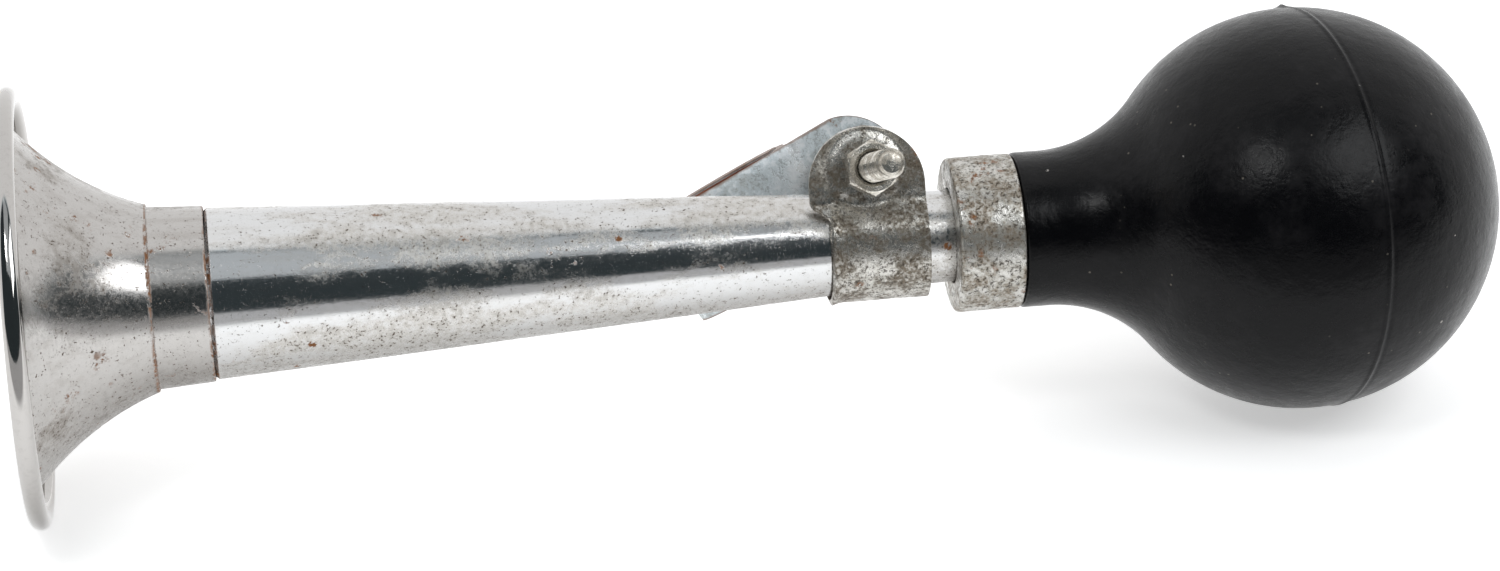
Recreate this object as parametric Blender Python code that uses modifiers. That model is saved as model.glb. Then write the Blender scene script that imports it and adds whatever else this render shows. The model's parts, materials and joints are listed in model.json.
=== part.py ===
"""A bicycle bulb horn, lying on its bell and its bulb.

A sheet-metal bell with a wired rim is swaged onto a conical tube. The tube's small end holds a
brass reed and carries a rubber bulb behind a steel ferrule. A U-shaped clip and an M5 bolt hold
a handlebar strap to the tube. Lengths are in metres. Inside the horn's own frame, local Z runs
along the horn from the front of the bell (0) towards the bulb.
"""

import math

import bmesh
import bpy
from mathutils import Matrix, Vector

# Horn body, measured along the axis from the front of the bell
SHEET = 0.0005
FIT_GAP = 0.0003
RIM_RADIUS = 0.0355
BEAD_RADIUS = 0.00165
CURL_START = -90
CURL_END = 165
BRIM_RADIUS = 0.0302
FLARE_ARC_CENTRE = (0.0590, 0.0372)
FLARE_END = 0.0218
COLLAR_START_RADIUS = 0.01465
CREASE_DEPTH = 0.0001
CREASE_LENGTH = 0.0014
COLLAR_END = 0.0309
COLLAR_END_RADIUS = 0.0140
TUBE_START = 0.0226
SWAGED_RADIUS = 0.0132
TUBE_SHOULDER = 0.0312
CONE_OUTSIDE = [(0.0138, 0.0315), (0.0107, 0.0874), (0.0082, 0.1314), (0.00743, 0.1490)]
NECK_RADIUS = 0.00743
TUBE_END = 0.1700

# Bulb and ferrule
BULB_RADIUS = 0.0328
BULB_CENTRE = 0.2077
BULB_WALL = 0.0030
BULB_SPLIT = 0.2095
BULB_NECK_START = 0.1531
BULB_NECK_RADIUS = 0.0126
BULB_NECK_END = 0.1655
BULB_BORE_END = 0.1735
FERRULE_START = 0.1503
FERRULE_END = 0.1609
FERRULE_RADIUS = 0.01255
FERRULE_WALL = 0.0010
FERRULE_FRONT_WALL = 0.0012
FERRULE_CHAMFER = 0.0006
NECK_HOLE = 0.00775
WASHER_THICKNESS = 0.0010

# Reed
HOLDER_START = 0.1600
HOLDER_FLANGE = 0.0015
HOLDER_SOCKET = 0.0060
SHALLOT_RADIUS = 0.0030
SHALLOT_BORE = 0.0020
SHALLOT_LENGTH = 0.0260
SHALLOT_FLAT = 0.0012
SHALLOT_CHAMFER = 0.0008
SHALLOT_TIP_WALL = 0.0015
TONGUE_CLEARANCE = 0.0001
WEDGE_LENGTH = 0.0070
TONGUE_WIDTH = 0.0050
TONGUE_THICKNESS = 0.0003
TONGUE_LENGTH = 0.0225
TONGUE_SET = math.radians(1.6)

# Clip, bolt and strap; heights are measured from the tube's axis
CLIP_CENTRE = 0.1386
CLIP_WIDTH = 0.0168
CLIP_LEAN = math.radians(27.5)
CLIP_SHEET = 0.0010
CLIP_BAND_RADIUS = 0.0085
EAR_HALF_GAP = 0.0075
EAR_RADIUS = 0.0094
EAR_HEIGHT = 0.0090
EAR_ARC = (-5, 190)
FAR_EAR_RADIUS = 0.0078
FAR_EAR_HEIGHT = 0.0102
FAR_EAR_STATION = 0.1371
FAR_EAR_ARC = (-20, 200)
FAR_EAR_TRIM_DEPTH = 0.0020
SHOULDER_STEP = 0.0008
SHOULDER_TOP = 0.0055
SHOULDER_BASE = 0.0035
BAND_TOP = 0.0045
BOLT_HEIGHT = 0.0115
BOLT_STATION = 0.1365
BOLT_YAW = math.radians(3)
BOLT_RADIUS = 0.0024
BOLT_LENGTH = 0.0450
HEAD_HEIGHT = 0.0035
NUT_HEIGHT = 0.0040
ACROSS_FLATS = 0.0080
CHAMFER_FLARE = 1.16
BOLT_CHAMFER = 0.0004
WASHER_CLEARANCE = 0.0004
EAR_HOLE = 0.0031
STRAP_HOLE = 0.00275
STRAP_WIDTH = 0.0185
STRAP_SHEET = 0.0012
STRAP_DIP = math.radians(26)
STRAP_EAR_RADIUS = 0.0096
STRAP_EAR_GAP = 0.0024
LOOP_REACH = 0.0180
LOOP_RADIUS = 0.0120
LOOP_ARC = (-90, 214)
FOLD_OUTER_REACH = 0.0062
FOLD_INNER_REACH = 0.0072
FOLD_ROOT_REACH = 0.0084
FOLD_ROOT_DROP = 0.0002
LINER_SHEET = 0.0006
LINER_ARC = (-80, 190)
LINER_INSET = 0.0005
BAR_WASHER_THICKNESS = 0.0008
BAR_WASHER_RADIUS = 0.0060
BOLT_WASHER_RADIUS = 0.0050

ROUND_STEPS = 40
SMALL_STEPS = 24
BOLT_STEPS = 16

# How far a cutter reaches past the face that it cuts, and the depth of one that cuts right through
OVERSHOOT = 0.0010
CHAMFER_OVERSHOOT = 0.00002
THROUGH = 0.1000

CHROME = ((0.60, 0.60, 0.60), 1.0, 0.18)
ZINC = ((0.42, 0.41, 0.39), 1.0, 0.42)
BLUED_ZINC = ((0.50, 0.53, 0.56), 1.0, 0.32)
BRASS = ((0.66, 0.48, 0.20), 1.0, 0.30)
RUBBER = ((0.012, 0.012, 0.013), 0.0, 0.45)
FIBRE = ((0.20, 0.06, 0.03), 0.0, 0.70)


def clear_scene():
    for obj in list(bpy.data.objects):
        bpy.data.objects.remove(obj, do_unlink=True)


def new_collection(name, hidden=False):
    collection = bpy.data.collections.new(name)
    bpy.context.scene.collection.children.link(collection)
    collection.hide_render = hidden
    return collection


def new_material(name, look):
    colour, metallic, roughness = look
    material = bpy.data.materials.new(name)
    material.use_nodes = True
    shader = material.node_tree.nodes["Principled BSDF"]
    shader.inputs["Base Color"].default_value = (*colour, 1.0)
    shader.inputs["Metallic"].default_value = metallic
    shader.inputs["Roughness"].default_value = roughness
    return material


def new_empty(name, parent=None, matrix=None):
    empty = bpy.data.objects.new(name, None)
    PARTS.objects.link(empty)
    empty.empty_display_size = 0.01
    empty.parent = parent
    empty.matrix_local = matrix or Matrix()
    return empty


def add_part(name, mesh, parent, look, location=(0, 0, 0)):
    obj = bpy.data.objects.new(name, mesh)
    PARTS.objects.link(obj)
    obj.parent = parent
    obj.location = location
    mesh.materials.clear()
    mesh.materials.append(new_material(name, look))
    return obj


# Outlines: lists of (radius, station) points, and closed flat outlines of (x, y) points


def arc(centre, radius, start, end, count):
    """Points on a circle about (x, y), from one angle to another in degrees."""
    points = []
    for i in range(count + 1):
        angle = math.radians(start + (end - start) * i / count)
        points.append((centre[0] + radius * math.cos(angle), centre[1] + radius * math.sin(angle)))
    return points


def offset(points, distance):
    """The same open line moved to its left by a distance."""
    moved = []
    for i, point in enumerate(points):
        before = Vector(points[max(i - 1, 0)])
        after = Vector(points[min(i + 1, len(points) - 1)])
        here = Vector(point)
        first = (here - before).normalized() if i else (after - here).normalized()
        last = (after - here).normalized() if i < len(points) - 1 else first
        left = Vector((-(first + last).y, (first + last).x)).normalized()
        square = Vector((-first.y, first.x)).dot(left)
        moved.append(tuple(here + left * distance / square))
    return moved


def band_outline(points, distance):
    """The closed outline of a strip whose one side is the line given."""
    return points + offset(points, distance)[::-1]


def turned(name, outline, parent, look, steps=ROUND_STEPS):
    """A body of revolution about local Z, from a closed outline with a flat side underneath."""
    area = sum(a[0] * b[1] - b[0] * a[1] for a, b in zip(outline, outline[1:] + outline[:1]))
    points = outline[::-1] if area > 0 else outline
    shape = bmesh.new()
    corners = [shape.verts.new((radius, 0, station)) for radius, station in points]
    for first, last in zip(corners, corners[1:] + corners[:1]):
        shape.edges.new((first, last))
    mesh = bpy.data.meshes.new(name)
    shape.to_mesh(mesh)
    shape.free()
    obj = add_part(name, mesh, parent, look)
    obj.rotation_euler.z = math.pi / steps
    screw = obj.modifiers.new("turn", "SCREW")
    screw.axis = "Z"
    screw.steps = steps
    screw.render_steps = steps
    screw.use_merge_vertices = True
    screw.merge_threshold = 1e-6
    screw.use_smooth_shade = True
    return obj


def prism(name, outline, depth, matrix=None):
    """A flat closed outline in XY, extruded by depth about its own plane, as a mesh."""
    curve = bpy.data.curves.new(name, "CURVE")
    curve.dimensions = "2D"
    curve.fill_mode = "BOTH"
    curve.extrude = depth / 2
    spline = curve.splines.new("POLY")
    spline.points.add(len(outline) - 1)
    for point, (x, y) in zip(spline.points, outline):
        point.co = (x, y, 0, 1)
    spline.use_cyclic_u = True
    guide = bpy.data.objects.new(name + "_outline", curve)
    bpy.context.scene.collection.objects.link(guide)
    bpy.context.view_layer.update()
    graph = bpy.context.evaluated_depsgraph_get()
    mesh = bpy.data.meshes.new_from_object(guide.evaluated_get(graph))
    bpy.data.objects.remove(guide)
    shape = bmesh.new()
    shape.from_mesh(mesh)
    bmesh.ops.remove_doubles(shape, verts=shape.verts, dist=1e-6)
    bmesh.ops.recalc_face_normals(shape, faces=shape.faces)
    shape.to_mesh(mesh)
    shape.free()
    if matrix:
        mesh.transform(matrix)
    return mesh


def cylinder_mesh(name, radius, depth, matrix=None, sides=SMALL_STEPS):
    shape = bmesh.new()
    bmesh.ops.create_cone(shape, cap_ends=True, segments=sides, radius1=radius, radius2=radius,
                          depth=depth, matrix=matrix or Matrix())
    mesh = bpy.data.meshes.new(name)
    shape.to_mesh(mesh)
    shape.free()
    return mesh


def box_mesh(name, matrix):
    shape = bmesh.new()
    bmesh.ops.create_cube(shape, size=1, matrix=matrix)
    mesh = bpy.data.meshes.new(name)
    shape.to_mesh(mesh)
    shape.free()
    return mesh


def combine(obj, mesh, operation, name):
    """Cuts, trims or joins the part with a hidden mesh that stands in the part's own frame."""
    cutter = bpy.data.objects.new(obj.name + "_" + name, mesh)
    CUTTERS.objects.link(cutter)
    cutter.parent = obj.parent
    cutter.location = obj.location
    cutter.hide_render = True
    cutter.display_type = "WIRE"
    boolean = obj.modifiers.new(name, "BOOLEAN")
    boolean.operation = operation
    boolean.solver = "EXACT"
    boolean.object = cutter


def round_over(obj, width, angle=math.radians(40)):
    bevel = obj.modifiers.new("edges", "BEVEL")
    bevel.width = width
    bevel.segments = 1
    bevel.limit_method = "ANGLE"
    bevel.angle_limit = angle


# Bell and tube


def flare_outside():
    """The bell's outer surface: a flat brim, the flare, a creased step and the collar."""
    centre = FLARE_ARC_CENTRE
    radius = math.dist(centre, (BRIM_RADIUS, SHEET))
    first = math.degrees(math.atan2(SHEET - centre[1], BRIM_RADIUS - centre[0]))
    last = math.degrees(math.atan2(FLARE_END - centre[1], COLLAR_START_RADIUS - centre[0]))
    brim = [(RIM_RADIUS - BEAD_RADIUS, SHEET)]
    flare = arc(centre, radius, first % 360, last % 360, 8)
    crease = (COLLAR_START_RADIUS - CREASE_DEPTH, FLARE_END + CREASE_LENGTH)
    return [*brim, *flare, crease, (COLLAR_END_RADIUS, COLLAR_END)]


def make_bell(horn):
    """The flare ends in a curl that is rolled back around the rim wire."""
    outside = flare_outside()
    inside = offset(outside, SHEET)[::-1]
    centre = (RIM_RADIUS - BEAD_RADIUS, BEAD_RADIUS)
    curl_outside = arc(centre, BEAD_RADIUS, CURL_START, CURL_END, 10)
    curl_inside = arc(centre, BEAD_RADIUS - SHEET, CURL_END, CURL_START, 8)
    outline = inside[:-1] + curl_outside + curl_inside[:-1] + outside
    turned("bell_flare", outline, horn, CHROME)
    wire = arc(centre, BEAD_RADIUS - SHEET - FIT_GAP, 0, 360, 8)[:-1]
    turned("rim_wire", wire, horn, ZINC)


def make_tube(horn):
    outside = [(SWAGED_RADIUS, TUBE_START), (SWAGED_RADIUS, TUBE_SHOULDER - FIT_GAP)]
    outside += [*CONE_OUTSIDE, (NECK_RADIUS, TUBE_END)]
    turned("horn_tube", band_outline(outside, SHEET), horn, CHROME)


# Bulb, ferrule and washer


def bulb_side(neck_radius, neck_end, radius, last_angle, count):
    """A neck that runs into a sphere through a hollow arc tangent to both."""
    reach = BULB_CENTRE - neck_end
    hollow = (reach ** 2 + neck_radius ** 2 - radius ** 2) / (2 * (radius - neck_radius))
    height = neck_radius + hollow
    meeting = math.degrees(math.atan2(height, reach))
    neck = arc((height, neck_end), hollow, 180, 90 + meeting, count // 2)
    ball = arc((0, BULB_CENTRE), radius, meeting - 90, last_angle, count)
    return neck + ball[1:]


def make_bulb(horn, slider):
    split = BULB_SPLIT - BULB_CENTRE
    outer_angle = math.degrees(math.asin((split - FIT_GAP / 2) / BULB_RADIUS))
    inner = BULB_RADIUS - BULB_WALL
    inner_angle = math.degrees(math.asin((split - FIT_GAP / 2) / inner))
    pinched = FERRULE_RADIUS - FERRULE_WALL - FIT_GAP
    outside = [(pinched, BULB_NECK_START), (pinched, FERRULE_END)]
    outside += [(BULB_NECK_RADIUS, FERRULE_END + FIT_GAP)]
    outside += bulb_side(BULB_NECK_RADIUS, BULB_NECK_END, BULB_RADIUS, outer_angle, 12)
    inside = [(NECK_HOLE, BULB_NECK_START)]
    inside += bulb_side(NECK_HOLE, BULB_BORE_END, inner, inner_angle, 10)
    turned("bulb_front", outside + inside[::-1], horn, RUBBER)
    outer_angle = math.degrees(math.asin((split + FIT_GAP / 2) / BULB_RADIUS))
    inner_angle = math.degrees(math.asin((split + FIT_GAP / 2) / inner))
    middle = (0, BULB_CENTRE - BULB_SPLIT)
    shell = arc(middle, BULB_RADIUS, outer_angle, 90, 9) + arc(middle, inner, 90, inner_angle, 8)
    turned("bulb_rear", shell, slider, RUBBER)


def make_ferrule(horn):
    wall = FERRULE_RADIUS - FERRULE_WALL
    inner_face = FERRULE_START + FERRULE_FRONT_WALL
    outline = [
        (NECK_HOLE, FERRULE_START),
        (FERRULE_RADIUS - FERRULE_CHAMFER, FERRULE_START),
        (FERRULE_RADIUS, FERRULE_START + FERRULE_CHAMFER),
        (FERRULE_RADIUS, FERRULE_END),
        (wall, FERRULE_END),
        (wall, inner_face),
        (NECK_HOLE, inner_face),
    ]
    turned("bulb_ferrule", outline, horn, ZINC)
    front = inner_face + FIT_GAP
    outer = wall - FIT_GAP
    ring = [
        (NECK_HOLE, front),
        (outer, front),
        (outer, front + WASHER_THICKNESS),
        (NECK_HOLE, front + WASHER_THICKNESS),
    ]
    turned("neck_washer", ring, horn, FIBRE)


# Reed


def make_reed_holder(horn):
    plug = NECK_RADIUS - SHEET - FIT_GAP
    face = TUBE_END + FIT_GAP
    back = face + HOLDER_FLANGE
    socket = SHALLOT_RADIUS + FIT_GAP
    outline = [
        (SHALLOT_BORE, HOLDER_START),
        (plug, HOLDER_START),
        (plug, face),
        (NECK_RADIUS, face),
        (NECK_RADIUS, back),
        (socket, back),
        (socket, back - HOLDER_SOCKET),
        (SHALLOT_BORE, back - HOLDER_SOCKET),
    ]
    turned("reed_holder", outline, horn, BRASS, SMALL_STEPS)
    return back


def make_reed(horn, tongue_pivot, holder_back):
    root = holder_back - HOLDER_SOCKET + FIT_GAP
    end = root + SHALLOT_LENGTH
    outline = [
        (SHALLOT_BORE, root),
        (SHALLOT_RADIUS, root),
        (SHALLOT_RADIUS, end - SHALLOT_CHAMFER),
        (SHALLOT_RADIUS - SHALLOT_CHAMFER, end),
        (0, end),
        (0, end - SHALLOT_TIP_WALL),
        (SHALLOT_BORE, end - SHALLOT_TIP_WALL),
    ]
    shallot = turned("reed_shallot", outline, horn, BRASS, SMALL_STEPS)
    top = SHALLOT_RADIUS + OVERSHOOT
    middle = (SHALLOT_FLAT + top) / 2
    long = SHALLOT_LENGTH + 2 * OVERSHOOT
    flat = Matrix.Translation((-middle, 0, root + SHALLOT_LENGTH / 2)) @ Matrix.Diagonal(
        (top - SHALLOT_FLAT, 2 * top, long, 1))
    combine(shallot, box_mesh("flat", flat), "DIFFERENCE", "flat")
    tongue = Matrix.Rotation(-TONGUE_SET, 4, "Y") @ Matrix.Translation(
        (0, 0, TONGUE_LENGTH / 2 - HOLDER_SOCKET / 2)) @ Matrix.Diagonal(
        (TONGUE_THICKNESS, TONGUE_WIDTH, TONGUE_LENGTH, 1))
    add_part("reed_tongue", box_mesh("reed_tongue", tongue), tongue_pivot, BRASS)
    low = SHALLOT_FLAT + 2 * FIT_GAP + TONGUE_THICKNESS + TONGUE_CLEARANCE
    half = math.degrees(math.acos(low / SHALLOT_RADIUS))
    segment = arc((0, 0), SHALLOT_RADIUS, 180 - half, 180 + half, 6)
    place = Matrix.Translation((0, 0, root + FIT_GAP + WEDGE_LENGTH / 2))
    add_part("reed_wedge", prism("reed_wedge", segment, WEDGE_LENGTH, place), horn, BRASS)


# Clip, bolt, nut and washers


def clip_section():
    """A U round the tube in the clip's XY plane, with X up through the bolt."""
    outer = CLIP_BAND_RADIUS + CLIP_SHEET
    top = EAR_HEIGHT + EAR_RADIUS + OVERSHOOT
    far = EAR_HALF_GAP + CLIP_SHEET
    inner_turn = math.degrees(math.asin(EAR_HALF_GAP / CLIP_BAND_RADIUS))
    outer_turn = math.degrees(math.asin(far / outer))
    outside = arc((0, 0), outer, outer_turn, 360 - outer_turn, 22)
    inside = arc((0, 0), CLIP_BAND_RADIUS, 360 - inner_turn, inner_turn, 20)
    return [(top, far), *outside, (top, -far), (top, -EAR_HALF_GAP), *inside, (top, EAR_HALF_GAP)]


def clip_side():
    """The clip seen from the side: a round ear that narrows into the band below."""
    bolt = BOLT_STATION - CLIP_CENTRE
    half = CLIP_WIDTH / 2
    below = -CLIP_BAND_RADIUS - CLIP_SHEET - OVERSHOOT
    ear = arc((bolt, EAR_HEIGHT), EAR_RADIUS, *EAR_ARC, 16)
    shoulder = [(-half - SHOULDER_STEP, SHOULDER_TOP), (-half, SHOULDER_BASE)]
    return [*ear, *shoulder, (-half, below), (half, below), (half, BAND_TOP)]


def far_ear_trim():
    """What the side view takes off the far ear, which is smaller than the near one."""
    centre = (FAR_EAR_STATION - CLIP_CENTRE, FAR_EAR_HEIGHT)
    ear = arc(centre, FAR_EAR_RADIUS, *FAR_EAR_ARC, 16)
    side, base, top = CLIP_WIDTH, ear[0][1], EAR_HEIGHT + 2 * EAR_RADIUS
    return [*ear, (-side, base), (-side, top), (side, top), (side, base)]


def make_clip(clamp):
    mesh = prism("tube_clip", clip_section(), EAR_RADIUS * 3)
    clip = add_part("tube_clip", mesh, clamp, ZINC)
    upright = Matrix(((0, 1, 0, 0), (0, 0, 1, 0), (1, 0, 0, 0), (0, 0, 0, 1)))
    side = prism("side", clip_side(), THROUGH, upright)
    combine(clip, side, "INTERSECT", "side")
    past_tube = Matrix.Translation((0, -THROUGH / 2 - FAR_EAR_TRIM_DEPTH, 0)) @ upright
    combine(clip, prism("trim", far_ear_trim(), THROUGH, past_tube), "DIFFERENCE", "trim")
    across = Matrix.Translation((BOLT_HEIGHT, 0, BOLT_STATION - CLIP_CENTRE)) @ Matrix.Rotation(
        math.radians(90), 4, "X")
    hole = cylinder_mesh("hole", EAR_HOLE, THROUGH, across)
    combine(clip, hole, "DIFFERENCE", "hole")


def hexagon(centre_height, height, name, parent, look, chamfer_top=True):
    """A hexagonal prism on the bolt's axis with its corners turned down at the outer end."""
    corner = ACROSS_FLATS / math.sqrt(3)
    points = arc((0, 0), corner, 30, 330, 5)
    place = Matrix.Translation((0, 0, centre_height))
    obj = add_part(name, prism(name, points, height, place), parent, look)
    shape = bmesh.new()
    flare = corner * CHAMFER_FLARE
    bmesh.ops.create_cone(shape, cap_ends=True, segments=SMALL_STEPS,
                          radius1=flare if chamfer_top else ACROSS_FLATS / 2,
                          radius2=ACROSS_FLATS / 2 if chamfer_top else flare,
                          depth=height + CHAMFER_OVERSHOOT, matrix=place)
    mesh = bpy.data.meshes.new("chamfer")
    shape.to_mesh(mesh)
    shape.free()
    combine(obj, mesh, "INTERSECT", "chamfer")
    return obj


def bolt_stack():
    """Places along the bolt's axis, measured from the tube's middle towards the nut."""
    tilt = math.sin(BOLT_YAW)
    ear = EAR_HALF_GAP + CLIP_SHEET
    corner = ACROSS_FLATS / math.sqrt(3)
    nut = ear + corner * tilt + FIT_GAP
    washer = -(ear + BAR_WASHER_RADIUS * tilt + FIT_GAP)
    strap = washer - BAR_WASHER_THICKNESS - FIT_GAP
    strap_back = strap - 2 * STRAP_SHEET - STRAP_EAR_GAP
    head_washer = strap_back - FIT_GAP
    head = head_washer - WASHER_THICKNESS - FIT_GAP
    return nut, washer, strap, head_washer, head


def make_fasteners(bolt_axis):
    nut, washer, _, head_washer, head = bolt_stack()
    bolt = hexagon(head - HEAD_HEIGHT / 2, HEAD_HEIGHT, "clamp_bolt", bolt_axis, ZINC,
                   chamfer_top=False)
    shank = cylinder_mesh("shank", BOLT_RADIUS, BOLT_LENGTH + OVERSHOOT,
                          Matrix.Translation((0, 0, head + (BOLT_LENGTH - OVERSHOOT) / 2)), BOLT_STEPS)
    combine(bolt, shank, "UNION", "shank")
    round_over(bolt, BOLT_CHAMFER)
    turning_nut = hexagon(nut + NUT_HEIGHT / 2, NUT_HEIGHT, "clamp_nut", bolt_axis, ZINC)
    thread = cylinder_mesh("thread", BOLT_RADIUS + FIT_GAP, 3 * NUT_HEIGHT,
                           Matrix.Translation((0, 0, nut)), BOLT_STEPS)
    combine(turning_nut, thread, "DIFFERENCE", "thread")
    inner = BOLT_RADIUS + WASHER_CLEARANCE
    rings = (
        ("swivel_washer", washer, BAR_WASHER_THICKNESS, BAR_WASHER_RADIUS),
        ("bolt_washer", head_washer, WASHER_THICKNESS, BOLT_WASHER_RADIUS),
    )
    for name, face, thickness, radius in rings:
        ring = [(inner, face), (radius, face), (radius, face - thickness), (inner, face - thickness)]
        turned(name, ring, bolt_axis, ZINC, SMALL_STEPS)


# Handlebar strap


def strap_line(radius, first, last):
    """The strap's loop about the handlebar, as points (reach, depth behind the near face)."""
    return arc((LOOP_REACH, LOOP_RADIUS + STRAP_SHEET), radius, first, last, 26)


def strap_section(strap_face):
    """A P shape: near ear, loop round the bar, and far ear folded back behind the near one."""
    outer = LOOP_RADIUS + STRAP_SHEET
    ear = -STRAP_EAR_RADIUS - OVERSHOOT
    far_outside = 2 * STRAP_SHEET + STRAP_EAR_GAP
    outside = [(ear, 0), *strap_line(outer, *LOOP_ARC)]
    far_ear = [(FOLD_OUTER_REACH, far_outside), (ear, far_outside), (ear, far_outside - STRAP_SHEET)]
    fold = [(FOLD_INNER_REACH, far_outside - STRAP_SHEET)]
    fold += [(FOLD_ROOT_REACH, far_outside - FOLD_ROOT_DROP)]
    inside = strap_line(LOOP_RADIUS, *LOOP_ARC)[::-1]
    outline = outside + far_ear + fold + inside + [(ear, STRAP_SHEET)]
    return [(reach, strap_face - depth) for reach, depth in outline]


def make_strap(bolt_axis, strap_axis):
    _, _, face, _, _ = bolt_stack()
    on_edge = Matrix.Rotation(math.radians(90), 4, "X")
    mesh = prism("handlebar_strap", strap_section(face), STRAP_EAR_RADIUS * 3, on_edge)
    strap = add_part("handlebar_strap", mesh, strap_axis, BLUED_ZINC)
    half = STRAP_WIDTH / 2
    turn = math.degrees(math.asin(half / STRAP_EAR_RADIUS))
    far = LOOP_REACH + LOOP_RADIUS + 2 * STRAP_SHEET
    plan = [(far, -half), (far, half), *arc((0, 0), STRAP_EAR_RADIUS, turn, 360 - turn, 20)]
    combine(strap, prism("plan", plan, THROUGH), "INTERSECT", "plan")
    combine(strap, cylinder_mesh("hole", STRAP_HOLE, THROUGH), "DIFFERENCE", "hole")
    liner_outer = LOOP_RADIUS - FIT_GAP
    lining = strap_line(liner_outer, *LINER_ARC)
    lining += strap_line(liner_outer - LINER_SHEET, *LINER_ARC[::-1])
    section = [(reach, face - depth) for reach, depth in lining]
    liner = prism("strap_liner", section, STRAP_WIDTH - 2 * LINER_INSET, on_edge)
    add_part("strap_liner", liner, strap_axis, FIBRE)


# Assembly


def horn_rest_matrix():
    """Lays the horn on its rim and its bulb, so that its axis drops slightly to the bulb."""
    drop = (RIM_RADIUS - BULB_RADIUS) * math.cos(math.pi / ROUND_STEPS)
    tilt = math.asin(drop / (BULB_CENTRE - BEAD_RADIUS))
    return Matrix.Rotation(math.radians(90) + tilt, 4, "Y")


def stand_on_floor(horn):
    """Moves the whole horn so that the middle of its box's base is the world's origin."""
    bpy.context.view_layer.update()
    graph = bpy.context.evaluated_depsgraph_get()
    corners = []
    for obj in PARTS.objects:
        if obj.type != "MESH":
            continue
        evaluated = obj.evaluated_get(graph)
        mesh = evaluated.to_mesh()
        corners += [evaluated.matrix_world @ vertex.co for vertex in mesh.vertices]
        evaluated.to_mesh_clear()
    low = Vector([min(c[i] for c in corners) for i in range(3)])
    high = Vector([max(c[i] for c in corners) for i in range(3)])
    horn.location -= Vector(((low.x + high.x) / 2, (low.y + high.y) / 2, low.z))


def smooth_parts():
    for obj in PARTS.objects:
        if obj.type == "MESH" and len(obj.data.polygons):
            obj.data.shade_smooth()
            obj.data.set_sharp_from_angle(angle=math.radians(30))


def build():
    horn = new_empty("horn_axis", matrix=horn_rest_matrix())
    slider = new_empty("bulb_slide", horn, Matrix.Translation((0, 0, BULB_SPLIT)))
    make_bell(horn)
    make_tube(horn)
    make_bulb(horn, slider)
    make_ferrule(horn)
    holder_back = make_reed_holder(horn)
    pivot_height = -(SHALLOT_FLAT + FIT_GAP + (TONGUE_THICKNESS + TONGUE_CLEARANCE) / 2)
    pivot = new_empty("tongue_pivot", horn, Matrix.Translation((pivot_height, 0, holder_back)))
    make_reed(horn, pivot, holder_back)
    clamp = new_empty("clamp_axis", horn, Matrix.Translation((0, 0, CLIP_CENTRE))
                      @ Matrix.Rotation(math.pi - CLIP_LEAN, 4, "Z"))
    bolt_up = Matrix(((0, -1, 0, 0), (0, 0, 1, 0), (-1, 0, 0, 0), (0, 0, 0, 1)))
    place = Matrix.Translation((BOLT_HEIGHT, 0, BOLT_STATION - CLIP_CENTRE))
    bolt_axis = new_empty("bolt_axis", clamp, place @ Matrix.Rotation(BOLT_YAW, 4, "X") @ bolt_up)
    strap_axis = new_empty("strap_axis", bolt_axis, Matrix.Rotation(STRAP_DIP, 4, "Z"))
    make_clip(clamp)
    make_fasteners(bolt_axis)
    make_strap(bolt_axis, strap_axis)
    smooth_parts()
    stand_on_floor(horn)


clear_scene()
PARTS = new_collection("bulb_horn")
CUTTERS = new_collection("cutters", hidden=True)
build()
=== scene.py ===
"""Looks for the bulb horn: worn chrome bell and tube, tarnished clip and strap, black rubber bulb.

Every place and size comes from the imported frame: the joints give the horn's axis and the
bolt's axis, and the CAD nodes give the spans along them. Lengths are in metres.
"""

import json
import math

import bmesh
import bpy
import numpy as np
from mathutils import Matrix, Vector, noise


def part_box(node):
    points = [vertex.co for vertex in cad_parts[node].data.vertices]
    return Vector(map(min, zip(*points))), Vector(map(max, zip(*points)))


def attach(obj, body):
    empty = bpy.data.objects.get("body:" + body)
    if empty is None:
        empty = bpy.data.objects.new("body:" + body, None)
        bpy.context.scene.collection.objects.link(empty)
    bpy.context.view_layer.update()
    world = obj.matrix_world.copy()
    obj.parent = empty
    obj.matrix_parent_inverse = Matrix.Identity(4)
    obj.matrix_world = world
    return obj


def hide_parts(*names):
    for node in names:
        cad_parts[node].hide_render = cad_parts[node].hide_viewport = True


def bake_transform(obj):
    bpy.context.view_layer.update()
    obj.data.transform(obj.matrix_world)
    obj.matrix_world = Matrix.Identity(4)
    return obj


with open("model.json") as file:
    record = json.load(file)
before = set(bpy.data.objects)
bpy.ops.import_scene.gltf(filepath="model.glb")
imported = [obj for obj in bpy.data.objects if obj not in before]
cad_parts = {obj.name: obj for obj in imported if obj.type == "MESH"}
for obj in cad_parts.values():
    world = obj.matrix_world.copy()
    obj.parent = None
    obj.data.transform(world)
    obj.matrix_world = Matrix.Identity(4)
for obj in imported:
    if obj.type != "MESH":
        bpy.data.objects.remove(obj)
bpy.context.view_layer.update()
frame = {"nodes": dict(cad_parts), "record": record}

MM = 0.001

# Frames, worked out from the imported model


def joint_named(name):
    return next(j for j in frame["record"]["behaviour"]["joints"] if j["name"] == name)


def axis_frame(origin, z_axis, x_hint):
    """A right-handed frame with Z along an axis and X as near to a hint as it can be."""
    z = Vector(z_axis).normalized()
    x = (Vector(x_hint) - z * z.dot(Vector(x_hint))).normalized()
    y = z.cross(x)
    matrix = Matrix((x, y, z)).transposed().to_4x4()
    matrix.translation = origin
    return matrix


def node_points(node, matrix):
    """The node's vertices in a frame, as an array."""
    inverse = matrix.inverted()
    return np.array([inverse @ v.co for v in frame["nodes"][node].data.vertices])


def span(node, matrix):
    """Lowest and highest place of a node along the frame's Z."""
    z = node_points(node, matrix)[:, 2]
    return float(z.min()), float(z.max())


def reach(node, matrix):
    """The greatest distance of a node from the frame's Z."""
    return float(np.hypot(*node_points(node, matrix)[:, :2].T).max())


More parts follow.
